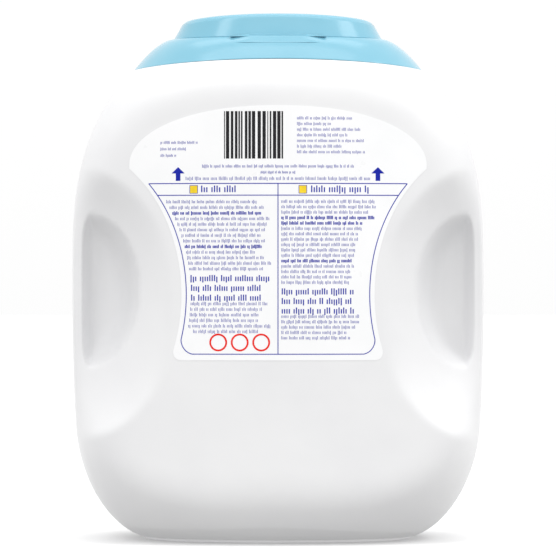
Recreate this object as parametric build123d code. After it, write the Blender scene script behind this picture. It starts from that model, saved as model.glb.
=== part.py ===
"""Laundry pod tub: a blow-moulded tub with pinched hand grips at both sides, under a closure pressed over its neck
with a hinged flip lid.

Millimetres. +Z is up and the foot stands on z = 0, centred on x = y = 0. +Y is the back, where the lid is
hinged. -Y is the front, where the two press tabs are. Front and back of the tub are alike.
"""

import math
import os

from build123d import *

# ---- The tub: overall form ----
TUB_HALF_WIDTH = 108.5  # at its widest height
PANEL_HALF_DEPTH = 72.0  # centre plane to the middle of a label panel
PANEL_RADIUS = 320.0  # the label panels are parts of an upright cylinder this round
SIDE_ROUNDING_DEPTH = 8.0  # how much deeper than the panel the side oval would be
BELLY_Z = 133.0  # height of the widest place
SHOULDER_Z = 246.4  # height where the closure's skirt ends, at the sides
SHOULDER_ARCH = 4.4  # how much higher it ends at front and back
TUB_WALL = 1.4

# ---- The tub: foot ----
FOOT_HEIGHT = 1.8  # the standing ring below the rolled corner
FOOT_STEP = 2.6  # the ring is set in this far from the rolled corner
FOOT_RING_WIDTH = 8.0
BASE_PUSH_UP = 4.0  # the underside is domed in this far
ROLL_HEIGHT = 62.0  # the wall starts to roll under this high up
ROLL_IN_SIDE = 38.0  # how far the roll brings the sides in
ROLL_IN_FRONT = 43.5  # and the front and back

# ---- The tub: hand grips, one at each side of front and back ----
SCOOP_WIDTH = 57.5  # from the side wall inwards
SCOOP_HALF_HEIGHT = 71.0
SCOOP_Z = 125.0
PILLAR_HALF_DEPTH = 30.0  # the upright that the hand closes on
POCKET_OUTER_X = TUB_HALF_WIDTH - 6.5  # finger pocket: its outer side
POCKET_WIDTH = 30.6
POCKET_HALF_HEIGHT = 45.4
POCKET_Z = 130.5
POCKET_HALF_DEPTH = 18.0  # centre plane to the pocket's floor

# ---- The tub: neck ----
NECK_HALF_WIDTH = 57.5
NECK_HALF_DEPTH = 43.0
NECK_TOP_Z = SHOULDER_Z + 13.9
NECK_WALL = 1.8
NECK_BEAD = 0.7  # the ring that holds the closure down
BEAD_HEIGHT = 1.4
BEAD_Z = NECK_TOP_Z - 3.9

# ---- The closure: skirt, deck and mouth ----
SKIRT_HALF_WIDTH = NECK_HALF_WIDTH + 19.2
SKIRT_HALF_DEPTH = NECK_HALF_DEPTH + 16.0
DECK_HALF_WIDTH = NECK_HALF_WIDTH - 1.0
DECK_HALF_DEPTH = NECK_HALF_DEPTH + 0.8
DECK_Z = NECK_TOP_Z + 2.5
SKIRT_WALL = 2.0
DECK_THICKNESS = 1.8
MOUTH_HALF_WIDTH = NECK_HALF_WIDTH - 9.1  # the opening that the pods come out of
MOUTH_HALF_DEPTH = NECK_HALF_DEPTH - 7.2
MOUTH_RING_WALL = 1.6
MOUTH_RING_TOP_Z = DECK_Z + 6.5
MOUTH_RING_BOTTOM_Z = DECK_Z - 8.8
RETAINER_WALL = 1.2  # the ring that grips the neck bead
RETAINER_BOTTOM_Z = NECK_TOP_Z - 7.7
CORNER_POWER = 2.8  # squareness of the rounded plan shapes: 2 is an ellipse

# ---- The flip lid ----
LID_HALF_WIDTH = NECK_HALF_WIDTH - 2.1
LID_HALF_DEPTH = NECK_HALF_DEPTH
LID_DRAFT = 0.42  # how far the wall leans in, per unit of height
LID_TOP_Z = DECK_Z + 12.7
LID_CROWN = 2.9  # the top falls away this much towards the sides
LID_WALL = 1.7
LID_POWER = 3.0
SEAL_RING_WALL = 1.2
SEAL_RING_BOTTOM_Z = MOUTH_RING_TOP_Z - 2.0
LIFT_LIP_WIDTH = 18.0
LIFT_LIP_REACH = 3.6
LIFT_LIP_THICKNESS = 1.5

# ---- Hinge and press tabs ----
HINGE_WIDTH = 51.0
HINGE_SETBACK = 2.2  # the hinge line lies this far behind the lid's wall
HINGE_LIP = 1.0  # thickness of the lips on each side of the hinge line
TAB_CENTRE_X = 22.0
TAB_WIDTH = 18.0
TAB_BOTTOM_Z = DECK_Z - 8.2
TAB_THICKNESS = 1.6
TAB_PRESS_ROOM = 1.7  # free space below a tab, for its travel

# ---- Labels ----
LABEL_THICKNESS = 0.15
LABEL_TOP_Z = 226.0
LABEL_BOTTOM_Z = 95.4
LABEL_HALF_WIDTH = TUB_HALF_WIDTH - 32.1
LABEL_EAR_Z = 196.0  # where the label is widest
LABEL_WAIST_X = TUB_HALF_WIDTH - SCOOP_WIDTH - 1.5  # half-width at the waist
LABEL_WAIST_Z = 129.0
LABEL_CORNER = 6.0

# ---- Clearances ----
RUNNING_GAP = 0.3  # between pieces that move past each other
SEAT_GAP = 0.3  # between the closure and the tub's shoulder
SNAP_GAP = 0.3  # between the neck and the ring around it
LABEL_GAP = 0.4  # between a label and the panel that it is stuck to
TAB_SIDE_GAP = 0.6
SEAL_GAP = 1.2  # leaves room for the seal ring to swing out of the mouth

# ---- How finely the moulded surfaces are sampled ----
SECTION_POINTS = 72
SECTIONS = 36
RING_POINTS = 32
FAR = 400.0  # longer than anything in the model


def soft_min(a, b, blend):
    """The smaller of two heights, rounded over where they come within blend of each other."""
    near = max(blend - abs(a - b), 0.0) / blend
    return min(a, b) - near * near * blend / 4


def soft_positive(value, blend):
    """Value where it is positive and 0 where it is negative, rounded over within blend of 0."""
    if abs(value) > blend:
        return max(value, 0.0)
    return (value + blend) ** 2 / (4 * blend)


def closed_wire(points):
    """A closed outline through points that run once round from the right: two splines that meet, upright,
    at the right and left ends."""
    half = len(points) // 2
    back = Edge.make_spline(points[: half + 1], tangents=[(0, 1, 0), (0, -1, 0)])
    front = Edge.make_spline(points[half:] + points[:1], tangents=[(0, -1, 0), (0, 1, 0)])
    return Wire([back, front])


def oval_wire(half_width, half_depth, power, z):
    """A rounded rectangle or oval |x/a|^p + |y/b|^p = 1 at height z."""
    points = []
    for i in range(RING_POINTS):
        angle = 2 * math.pi * i / RING_POINTS
        c, s = math.cos(angle), math.sin(angle)
        x = half_width * math.copysign(abs(c) ** (2 / power), c)
        y = half_depth * math.copysign(abs(s) ** (2 / power), s)
        points.append((x, y, z))
    return closed_wire(points)


def oval_block(half_width, half_depth, low_z, high_z, power=CORNER_POWER, lean=0.0):
    """A solid oval block between two heights. Lean draws the top in, per unit of height."""
    inward = lean * (high_z - low_z)
    low = oval_wire(half_width, half_depth, power, low_z)
    high = oval_wire(half_width - inward, half_depth - inward, power, high_z)
    return Solid.make_loft([low, high])


def oval_ring(half_width, half_depth, wall, low_z, high_z, power=CORNER_POWER):
    """A ring whose outside is the given oval and whose wall grows inwards."""
    outside = oval_block(half_width, half_depth, low_z, high_z, power)
    return outside - oval_block(half_width - wall, half_depth - wall, low_z - 1, high_z + 1, power)


def arch(top_z, rise, half_span):
    """Everything below an arch that spans the tub from side to side and peaks at top_z."""
    radius = (half_span**2 + rise**2) / (2 * rise)
    return Pos(0, 0, top_z - radius) * Rot(90, 0, 0) * Cylinder(radius, FAR)


def block(low, high):
    """A box between two corners."""
    size = [h - l for l, h in zip(low, high)]
    return Pos(*low) * Box(*size, align=(Align.MIN, Align.MIN, Align.MIN))


def skirt_reach(z):
    """How far the flared skirt has opened at height z: 0 at the deck's edge, 1 at the skirt's tips."""
    down = (DECK_Z + 0.4 - z) / (DECK_Z + 0.4 - SHOULDER_Z)
    return max(down, 0.0) ** 0.64


def skirt_half_width(z):
    """Half-width of the closure's outside at height z."""
    return DECK_HALF_WIDTH + (SKIRT_HALF_WIDTH - DECK_HALF_WIDTH) * skirt_reach(z)


def skirt_half_depth(z):
    """Half-depth of the closure's outside at height z."""
    return DECK_HALF_DEPTH + (SKIRT_HALF_DEPTH - DECK_HALF_DEPTH) * skirt_reach(z)


SHOULDER_LEDGE = 1.2  # how far the shoulder stands out past the skirt
SHOULDER_TOP_Z = SHOULDER_Z + SHOULDER_ARCH
SHOULDER_HALF_WIDTH = SKIRT_HALF_WIDTH + SHOULDER_LEDGE
SHOULDER_HALF_DEPTH = skirt_half_depth(SHOULDER_TOP_Z) + SHOULDER_LEDGE
OVAL_HALF_DEPTH = PANEL_HALF_DEPTH + SIDE_ROUNDING_DEPTH
WIDTH_POWER = 3.3  # how suddenly the sides close in towards the shoulder
DEPTH_POWER = 8.0  # and the front and back, which stay upright longer
WIDTH_SPAN = (SHOULDER_Z - BELLY_Z) / (1 - SHOULDER_HALF_WIDTH / TUB_HALF_WIDTH) ** (1 / WIDTH_POWER)
DEPTH_SPAN = (SHOULDER_TOP_Z - BELLY_Z) / (1 - SHOULDER_HALF_DEPTH / OVAL_HALF_DEPTH) ** (1 / DEPTH_POWER)
BARREL_SPAN = 560.0  # the wall below the widest place bulges as if over this height


def roll_under(z):
    """Share of the bottom roll reached at height z: 0 at its top, 1 on the ground."""
    t = min(max((ROLL_HEIGHT - z) / ROLL_HEIGHT, 0.0), 1.0)
    return 1 - math.sqrt(1 - t * t)


def half_width(z):
    """Half-width of the tub at height z."""
    above = max(z - BELLY_Z, 0.0) / WIDTH_SPAN
    below = max(BELLY_Z - z, 0.0) / BARREL_SPAN
    return TUB_HALF_WIDTH * (1 - above**WIDTH_POWER - below**2) - ROLL_IN_SIDE * roll_under(z)


def oval_half_depth(z):
    """Half-depth at height z of the oval that rounds the sides and closes the top and bottom."""
    above = max(z - BELLY_Z, 0.0) / DEPTH_SPAN
    return OVAL_HALF_DEPTH * (1 - above**DEPTH_POWER) - ROLL_IN_FRONT * roll_under(z)


def plan_power(z):
    """Squareness of the tub's plan: nearly an ellipse at the foot, squarer at the belly."""
    low = max(ROLL_HEIGHT - z, 0.0) / ROLL_HEIGHT
    high = max(z - BELLY_Z, 0.0) / (SHOULDER_Z - BELLY_Z)
    return 3.0 - 0.7 * low**2 - 0.2 * min(high, 1.0) ** 2


def grip_scoop(across, z, wall, inset):
    """The wall's height above the centre plane once the wide scoop is pressed into it."""
    reach = (TUB_HALF_WIDTH - across) / (SCOOP_WIDTH + inset)
    rise = (z - SCOOP_Z) / (SCOOP_HALF_HEIGHT + inset)
    steepness = 4 + math.tanh((z - SCOOP_Z) / 25)
    ramp = max(POCKET_OUTER_X - across, 0.0) / (POCKET_OUTER_X - TUB_HALF_WIDTH + SCOOP_WIDTH)
    floor = PILLAR_HALF_DEPTH + (PANEL_HALF_DEPTH - PILLAR_HALF_DEPTH) * ramp**1.8 - inset
    inside = soft_positive(1 - math.hypot(reach, rise) ** steepness, 0.12)
    return wall - max(wall - floor, 0.0) * inside


def finger_pocket(across, z, inset):
    """Height of the finger pocket's floor and its steep sides above the centre plane."""
    reach = max(POCKET_OUTER_X - across, 0.0) / (POCKET_WIDTH + inset)
    rise = (z - POCKET_Z) / (POCKET_HALF_HEIGHT + inset)
    outer = max(across - (POCKET_OUTER_X - 5) - inset, 0.0) / 6
    return POCKET_HALF_DEPTH - inset + 34 * math.hypot(reach, rise) ** 6 + 16 * outer**2


def wall_height(x, z, inset):
    """Distance of the tub's front or back wall from the centre plane. Inset moves it inwards."""
    across = abs(x)
    level = z + inset * max(min((z - BELLY_Z) / (SHOULDER_Z - BELLY_Z), 1.0), -1.0)
    power = plan_power(level)
    share = min(across / (half_width(level) - inset), 1.0)
    oval = (oval_half_depth(level) - inset) * (1 - share**power) ** (1 / power)
    radius = PANEL_RADIUS - inset
    panel = PANEL_HALF_DEPTH - PANEL_RADIUS + math.sqrt(radius**2 - across**2)
    wall = grip_scoop(across, z, soft_min(oval, panel, 5.0), inset)
    return max(soft_min(wall, finger_pocket(across, z, inset), 2.5), 0.0)


def tub_section(z, inset):
    """The tub's outline at one height."""
    level = z + inset * max(min((z - BELLY_Z) / (SHOULDER_Z - BELLY_Z), 1.0), -1.0)
    half = half_width(level) - inset
    points = []
    for i in range(SECTION_POINTS):
        angle = 2 * math.pi * i / SECTION_POINTS
        x = half * math.cos(angle)
        side = math.sin(angle)
        y = math.copysign(wall_height(x, z, inset), side) if abs(side) > 1e-9 else 0.0
        points.append((x, y, z))
    return closed_wire(points)


def tub_form(low_z, high_z, inset):
    """The tub's outside, or its hollow when inset by the wall, lofted through level outlines."""
    heights = [low_z + (high_z - low_z) * (i / SECTIONS) ** 1.35 for i in range(SECTIONS + 1)]
    return Solid.make_loft([tub_section(z, inset) for z in heights])


def make_tub_body():
    """The tub itself: one hollow blow moulding with its neck, grips and standing ring."""
    shoulder_cut = SHOULDER_TOP_Z - SEAT_GAP
    outside = tub_form(FOOT_HEIGHT, SHOULDER_TOP_Z + 3, 0) & arch(
        shoulder_cut, SHOULDER_ARCH, SKIRT_HALF_WIDTH
    )
    foot_half_width = half_width(FOOT_HEIGHT) - FOOT_STEP
    foot_half_depth = oval_half_depth(FOOT_HEIGHT) - FOOT_STEP
    foot_power = plan_power(0)
    foot = Solid.make_loft(
        [
            oval_wire(foot_half_width - 1.2, foot_half_depth - 1.2, foot_power, 0),
            oval_wire(foot_half_width, foot_half_depth, foot_power, FOOT_HEIGHT / 2),
            oval_wire(foot_half_width, foot_half_depth, foot_power, FOOT_HEIGHT + 0.5),
        ],
        ruled=True,
    )
    neck = oval_block(NECK_HALF_WIDTH, NECK_HALF_DEPTH, SHOULDER_Z - 6, NECK_TOP_Z)
    bead = oval_block(
        NECK_HALF_WIDTH + NECK_BEAD, NECK_HALF_DEPTH + NECK_BEAD, BEAD_Z, BEAD_Z + BEAD_HEIGHT
    )
    outside = outside + foot + neck + bead

    hollow = tub_form(TUB_WALL + 0.5, SHOULDER_TOP_Z + 3, TUB_WALL) & arch(
        shoulder_cut - TUB_WALL, SHOULDER_ARCH, SKIRT_HALF_WIDTH
    )
    dome_half_width = foot_half_width - FOOT_RING_WIDTH
    dome_half_depth = foot_half_depth - FOOT_RING_WIDTH
    dome = oval_block(dome_half_width, dome_half_depth, -1, BASE_PUSH_UP, foot_power, lean=1.2)
    dome_wall = oval_block(
        dome_half_width + TUB_WALL,
        dome_half_depth + TUB_WALL,
        -1,
        BASE_PUSH_UP + TUB_WALL,
        foot_power,
        lean=0.95,
    )
    bore = oval_block(
        NECK_HALF_WIDTH - NECK_WALL, NECK_HALF_DEPTH - NECK_WALL, SHOULDER_Z - 8, NECK_TOP_Z + 1
    )
    return outside - (hollow - dome_wall) - dome - bore


def skirt_form(inset, high_z):
    """The closure's flared outside, or its inside when inset, down past the skirt's lower edge."""
    low_z = SHOULDER_Z - 4
    steps = 12
    heights = [high_z - (high_z - low_z) * (i / steps) ** 1.6 for i in range(steps + 1)]
    wires = [
        oval_wire(skirt_half_width(z) - inset, skirt_half_depth(z) - inset, CORNER_POWER, z)
        for z in heights
    ]
    return Solid.make_loft(wires)


RETAINER_HALF_WIDTH = NECK_HALF_WIDTH + NECK_BEAD + SNAP_GAP + RETAINER_WALL
RETAINER_HALF_DEPTH = NECK_HALF_DEPTH + NECK_BEAD + SNAP_GAP + RETAINER_WALL
HINGE_Y = LID_HALF_DEPTH + HINGE_SETBACK
HINGE_Z = DECK_Z + 0.8
TAB_AXIS_Y = -(LID_HALF_DEPTH + 0.6)
TAB_AXIS_Z = DECK_Z + 0.7
TAB_BACK_Y = -(RETAINER_HALF_DEPTH + 0.9)  # the tab's upright part stays in front of the grip ring
LID_BOTTOM_Z = DECK_Z + RUNNING_GAP


def tab_box(side, widen, low_z, high_z, near_y):
    """The space of one press tab in the front of the skirt, widened by a clearance."""
    half = TAB_WIDTH / 2 + widen
    centre = side * TAB_CENTRE_X
    return block((centre - half, -SKIRT_HALF_DEPTH - 5, low_z), (centre + half, near_y, high_z))


def make_closure_collar():
    """The closure's fixed part: flared skirt, deck, mouth ring, grip ring and rear hinge lip."""
    underside_z = DECK_Z - DECK_THICKNESS
    below_skirt = arch(SHOULDER_TOP_Z, SHOULDER_ARCH, SKIRT_HALF_WIDTH)
    skirt = skirt_form(0, DECK_Z) - skirt_form(SKIRT_WALL, underside_z)
    skirt = skirt - below_skirt
    mouth = oval_ring(
        MOUTH_HALF_WIDTH + MOUTH_RING_WALL,
        MOUTH_HALF_DEPTH + MOUTH_RING_WALL,
        MOUTH_RING_WALL,
        MOUTH_RING_BOTTOM_Z,
        MOUTH_RING_TOP_Z,
        LID_POWER,
    )
    retainer = oval_ring(
        RETAINER_HALF_WIDTH, RETAINER_HALF_DEPTH, RETAINER_WALL, RETAINER_BOTTOM_Z, underside_z + 0.2
    )
    catch_low_z = RETAINER_BOTTOM_Z + 0.6
    catch = oval_ring(
        RETAINER_HALF_WIDTH - 0.2,
        RETAINER_HALF_DEPTH - 0.2,
        RETAINER_WALL + NECK_BEAD - 0.2,
        catch_low_z,
        catch_low_z + BEAD_HEIGHT,
    )
    hinge_lip = block(
        (-HINGE_WIDTH / 2, HINGE_Y + RUNNING_GAP, DECK_Z - 2.0),
        (HINGE_WIDTH / 2, HINGE_Y + 1.8, HINGE_Z - RUNNING_GAP),
    )
    opening = oval_block(
        MOUTH_HALF_WIDTH, MOUTH_HALF_DEPTH, MOUTH_RING_BOTTOM_Z - 1, MOUTH_RING_TOP_Z + 1, LID_POWER
    )
    collar = skirt + mouth + retainer + catch + hinge_lip - opening
    for side in (-1, 1):
        low_z = TAB_BOTTOM_Z - TAB_PRESS_ROOM
        collar -= tab_box(side, TAB_SIDE_GAP, low_z, DECK_Z + 1, -RETAINER_HALF_DEPTH - 0.1)
    return collar


def make_flip_lid():
    """The lid: a shallow drafted drum with a crowned top, a seal ring, a hinge lip and a lift lip."""
    half_span = LID_HALF_WIDTH - LID_DRAFT * (LID_TOP_Z - LID_BOTTOM_Z)
    drum = oval_block(
        LID_HALF_WIDTH, LID_HALF_DEPTH, LID_BOTTOM_Z, LID_TOP_Z + 2, LID_POWER, lean=LID_DRAFT
    )
    drum = drum & arch(LID_TOP_Z, LID_CROWN, half_span)
    inside_low_z = LID_BOTTOM_Z - 1
    inside = oval_block(
        LID_HALF_WIDTH - LID_WALL + LID_DRAFT,
        LID_HALF_DEPTH - LID_WALL + LID_DRAFT,
        inside_low_z,
        LID_TOP_Z + 2,
        LID_POWER,
        lean=LID_DRAFT,
    )
    inside = inside & arch(LID_TOP_Z - LID_WALL, LID_CROWN, half_span)
    seal_half_width = MOUTH_HALF_WIDTH - SEAL_GAP
    seal_half_depth = MOUTH_HALF_DEPTH - SEAL_GAP
    seal = oval_ring(
        seal_half_width, seal_half_depth, SEAL_RING_WALL, SEAL_RING_BOTTOM_Z, LID_TOP_Z + 2, LID_POWER
    )
    seal = seal & arch(LID_TOP_Z - LID_WALL / 2, LID_CROWN, half_span)
    wall_y = LID_HALF_DEPTH - LID_WALL / 2
    hinge_lip = block(
        (-HINGE_WIDTH / 2, wall_y, HINGE_Z - HINGE_LIP / 2),
        (HINGE_WIDTH / 2, HINGE_Y - RUNNING_GAP, HINGE_Z + HINGE_LIP / 2),
    )
    lip_low_z = DECK_Z + 0.6
    lift_lip = block(
        (-LIFT_LIP_WIDTH / 2, -LID_HALF_DEPTH - LIFT_LIP_REACH, lip_low_z),
        (LIFT_LIP_WIDTH / 2, -wall_y, lip_low_z + LIFT_LIP_THICKNESS),
    )
    return drum - inside + seal + hinge_lip + lift_lip


def make_latch_tab(side):
    """One press tab: an arm over the deck's front edge and a thumb pad that closes the skirt's notch."""
    pad_top_z = DECK_Z - 1.3
    shell = skirt_form(0, DECK_Z) - skirt_form(TAB_THICKNESS, DECK_Z)
    pad = shell & tab_box(side, 0, TAB_BOTTOM_Z, pad_top_z, TAB_BACK_Y)
    half = TAB_WIDTH / 2
    centre = side * TAB_CENTRE_X
    front_y = TAB_BACK_Y - TAB_THICKNESS
    arm_top_z = TAB_AXIS_Z + 0.6
    arm = block((centre - half, front_y, DECK_Z + 0.45), (centre + half, TAB_AXIS_Y, arm_top_z))
    drop = block((centre - half, front_y, pad_top_z - 1.4), (centre + half, TAB_BACK_Y, arm_top_z))
    return pad + arm + drop


def label_outline():
    """The label's vase outline, on the XZ plane: an arched top, and sides hollowed by the grips."""
    top_height = LABEL_TOP_Z - LABEL_EAR_Z
    arc = []
    steps = 16
    for i in range(steps + 1):
        angle = math.pi * i / steps
        c, s = math.cos(angle), math.sin(angle)
        x = LABEL_HALF_WIDTH * math.copysign(abs(c) ** (2 / 2.2), c)
        arc.append((x, LABEL_EAR_Z + top_height * s))
    left, right = (-LABEL_HALF_WIDTH, LABEL_BOTTOM_Z), (LABEL_HALF_WIDTH, LABEL_BOTTOM_Z)
    edges = [
        Edge.make_spline([Vector(x, z) for x, z in arc]),
        Edge.make_line(Vector(*arc[-1]), Vector(*left)),
        Edge.make_line(Vector(*left), Vector(*right)),
        Edge.make_line(Vector(*right), Vector(*arc[0])),
    ]
    outline = Sketch() + Face(Wire(edges))
    hollow_half_width = TUB_HALF_WIDTH + 2 - LABEL_WAIST_X
    for side in (-1, 1):
        hollow = Ellipse(hollow_half_width, SCOOP_HALF_HEIGHT + 7)
        outline -= Pos(side * (TUB_HALF_WIDTH + 2), LABEL_WAIST_Z) * hollow
    low = [v for v in outline.vertices() if v.Y < LABEL_BOTTOM_Z + 1]
    return fillet(low, LABEL_CORNER)


def make_label(side):
    """A paper-thin label on one panel: side is 1 for the back and -1 for the front."""
    centre_y = PANEL_HALF_DEPTH - PANEL_RADIUS
    inner = PANEL_RADIUS + LABEL_GAP
    shell = Cylinder(inner + LABEL_THICKNESS, FAR * 2) - Cylinder(inner, FAR * 2)
    outline = Plane.XZ * label_outline()
    stamp = extrude(outline, -FAR / 2, dir=(0, -1, 0))
    label = stamp & (Pos(0, centre_y, 0) * shell)
    return label if side > 0 else mirror(label, about=Plane.XZ)


def main():
    """Build every piece and write it to parts/."""
    os.makedirs("parts", exist_ok=True)
    pieces = {
        "tub_body": make_tub_body(),
        "closure_collar": make_closure_collar(),
        "flip_lid": make_flip_lid(),
        "latch_tab_left": make_latch_tab(-1),
        "latch_tab_right": make_latch_tab(1),
        "back_label": make_label(1),
        "front_label": make_label(-1),
    }
    for name, piece in pieces.items():
        export_step(piece, f"parts/{name}.step")
        print(name, round(piece.volume), piece.bounding_box())


main()
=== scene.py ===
"""The laundry pod tub's looks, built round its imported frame: tub, labels and their print, closure, lid,
press tabs and film hinge, then the studio. Shapes are worked out in millimetres, as on a moulder's drawing,
and written to Blender in metres."""

import math

import bpy
import numpy as np
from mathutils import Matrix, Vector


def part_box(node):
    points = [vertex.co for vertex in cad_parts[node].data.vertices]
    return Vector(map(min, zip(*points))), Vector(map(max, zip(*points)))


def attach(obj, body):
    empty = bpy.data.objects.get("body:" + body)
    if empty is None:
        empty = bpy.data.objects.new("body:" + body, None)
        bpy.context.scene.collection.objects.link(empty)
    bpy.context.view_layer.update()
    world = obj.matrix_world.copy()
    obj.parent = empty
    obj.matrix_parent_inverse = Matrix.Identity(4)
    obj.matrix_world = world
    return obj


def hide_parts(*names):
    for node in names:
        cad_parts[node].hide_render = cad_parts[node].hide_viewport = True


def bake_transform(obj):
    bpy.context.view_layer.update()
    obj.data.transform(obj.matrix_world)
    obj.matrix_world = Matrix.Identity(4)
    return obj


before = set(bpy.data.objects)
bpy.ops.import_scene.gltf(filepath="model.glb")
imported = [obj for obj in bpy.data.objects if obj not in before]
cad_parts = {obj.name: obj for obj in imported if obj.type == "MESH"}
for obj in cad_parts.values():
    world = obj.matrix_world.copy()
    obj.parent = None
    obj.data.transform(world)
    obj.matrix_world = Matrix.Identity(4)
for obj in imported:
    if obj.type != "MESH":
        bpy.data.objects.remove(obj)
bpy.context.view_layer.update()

# ---------------------------------------------------------------------------------------------------------
# Tub body. One hollow blow moulding in white polyethylene: barrel, rolled foot with a standing ring, two
# label panels, four grip recesses, and a neck. Blown between two halves of a mould, so a parting line runs
# up both sides.
# ---------------------------------------------------------------------------------------------------------
MM = 0.001
tub_high = np.array(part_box("tub_body")[1]) / MM
collar_low = np.array(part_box("closure_collar")[0]) / MM

TUB_HALF_WIDTH = 108.5
PANEL_HALF_DEPTH = 72.0
PANEL_RADIUS = 320.0
SIDE_ROUNDING_DEPTH = 8.0
BELLY_Z = 133.0
SHOULDER_Z = collar_low[2]
SHOULDER_ARCH = 4.4
TUB_WALL = 1.4
FOOT_HEIGHT = 1.8
FOOT_STEP = 2.6
FOOT_RING_WIDTH = 8.0
BASE_PUSH_UP = 4.0
ROLL_HEIGHT, ROLL_IN_SIDE, ROLL_IN_FRONT = 62.0, 38.0, 43.5
SCOOP_WIDTH, SCOOP_HALF_HEIGHT, SCOOP_Z = 57.5, 71.0, 125.0
PILLAR_HALF_DEPTH = 30.0
POCKET_OUTER_X, POCKET_WIDTH, POCKET_HALF_HEIGHT, POCKET_Z = 102.0, 30.6, 45.4, 130.5
POCKET_HALF_DEPTH = 18.0
NECK_HALF_WIDTH, NECK_HALF_DEPTH, NECK_WALL = 57.5, 43.0, 1.8
NECK_TOP_Z = tub_high[2]
NECK_BEAD, BEAD_Z, BEAD_HEIGHT = 0.7, 256.4, 1.4
NECK_EDGE = 0.5
CORNER_POWER = 2.8
SEAT_GAP = 0.3
PARTING_RIDGE = 0.12
BARREL_SPAN = 560.0
WIDTH_POWER, DEPTH_POWER = 3.3, 8.0
SHOULDER_LEDGE = 1.2

SKIRT_HALF_WIDTH, SKIRT_HALF_DEPTH = 76.7, 59.0
DECK_HALF_WIDTH, DECK_HALF_DEPTH = 56.5, 43.8
DECK_Z = 262.8


def soft_min(a, b, blend):
    """The smaller of two heights, rounded over by a parabola where they come within blend of each other."""
    near = np.maximum(blend - np.abs(a - b), 0.0) / blend
    return np.minimum(a, b) - near**2 * blend / 4


def soft_positive(value, blend):
    """Value where positive, 0 where negative, rounded over by a parabola within blend of 0."""
    rounded = (value + blend) ** 2 / (4 * blend)
    return np.where(np.abs(value) > blend, np.maximum(value, 0.0), rounded)


def skirt_reach(z):
    """How far the closure's flared skirt has opened at height z: 0 at the deck, 1 at the skirt's tips."""
    down = (DECK_Z + 0.4 - z) / (DECK_Z + 0.4 - SHOULDER_Z)
    return np.maximum(down, 0.0) ** 0.64


OVAL_HALF_DEPTH = PANEL_HALF_DEPTH + SIDE_ROUNDING_DEPTH
SHOULDER_TOP_Z = SHOULDER_Z + SHOULDER_ARCH
SHOULDER_HALF_WIDTH = SKIRT_HALF_WIDTH + SHOULDER_LEDGE
SHOULDER_HALF_DEPTH = (
    DECK_HALF_DEPTH + (SKIRT_HALF_DEPTH - DECK_HALF_DEPTH) * skirt_reach(SHOULDER_TOP_Z) + SHOULDER_LEDGE
)
WIDTH_SPAN = (SHOULDER_Z - BELLY_Z) / (1 - SHOULDER_HALF_WIDTH / TUB_HALF_WIDTH) ** (1 / WIDTH_POWER)
DEPTH_SPAN = (SHOULDER_TOP_Z - BELLY_Z) / (1 - SHOULDER_HALF_DEPTH / OVAL_HALF_DEPTH) ** (1 / DEPTH_POWER)


def roll_under(z):
    """Share of the bottom roll reached at height z, a quarter ellipse: 0 at its top, 1 on the ground."""
    t = np.clip((ROLL_HEIGHT - z) / ROLL_HEIGHT, 0.0, 1.0)
    return 1 - np.sqrt(1 - t**2)


def half_width(z):
    """Half-width of the tub at height z: a barrel less the power curves that close it above and below."""
    above = np.maximum(z - BELLY_Z, 0.0) / WIDTH_SPAN
    below = np.maximum(BELLY_Z - z, 0.0) / BARREL_SPAN
    return TUB_HALF_WIDTH * (1 - above**WIDTH_POWER - below**2) - ROLL_IN_SIDE * roll_under(z)


def oval_half_depth(z):
    """Half-depth at height z of the oval that rounds the sides and closes the top and bottom."""
    above = np.maximum(z - BELLY_Z, 0.0) / DEPTH_SPAN
    return OVAL_HALF_DEPTH * (1 - above**DEPTH_POWER) - ROLL_IN_FRONT * roll_under(z)


def plan_power(z):
    """Squareness of the plan at height z: nearly an ellipse at the foot, squarer at the belly."""
    low = np.maximum(ROLL_HEIGHT - z, 0.0) / ROLL_HEIGHT
    high = np.clip((z - BELLY_Z) / (SHOULDER_Z - BELLY_Z), 0.0, 1.0)
    return 3.0 - 0.7 * low**2 - 0.2 * high**2


def moved_level(z, inset):
    """The height whose outline the hollow follows at z, so that floor and shoulder keep their thickness."""
    return z + inset * np.clip((z - BELLY_Z) / (SHOULDER_Z - BELLY_Z), -1.0, 1.0)


def grip_scoop(across, z, wall, inset):
    """The wall once the wide scoop is pressed in: it ramps down to the pillar inside an ellipse whose rim
    is a steep power of the distance from its centre, eased over at the top."""
    reach = (TUB_HALF_WIDTH - across) / (SCOOP_WIDTH + inset)
    rise = (z - SCOOP_Z) / (SCOOP_HALF_HEIGHT + inset)
    upper = np.tanh((z - SCOOP_Z) / 25)
    ramp = np.maximum(POCKET_OUTER_X - across, 0.0) / (POCKET_OUTER_X - TUB_HALF_WIDTH + SCOOP_WIDTH)
    floor = PILLAR_HALF_DEPTH + (PANEL_HALF_DEPTH - PILLAR_HALF_DEPTH) * ramp**1.8 - inset
    inside = soft_positive(1 - np.hypot(reach, rise) ** (4 + upper), 0.10)
    inside = inside ** (1 + 0.7 * np.maximum(upper, 0.0))
    return wall - np.maximum(wall - floor, 0.0) * inside


def finger_pocket(across, z, inset):
    """The finger pocket: a flat floor with a sixth-power wall round its D shape, and the pillar's side."""
    reach = np.maximum(POCKET_OUTER_X - across, 0.0) / (POCKET_WIDTH + inset)
    rise = (z - POCKET_Z) / (POCKET_HALF_HEIGHT + inset)
    outer = np.maximum(across - (POCKET_OUTER_X - 5) - inset, 0.0) / 6
    return POCKET_HALF_DEPTH - inset + 34 * np.hypot(reach, rise) ** 6 + 16 * outer**2


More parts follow.
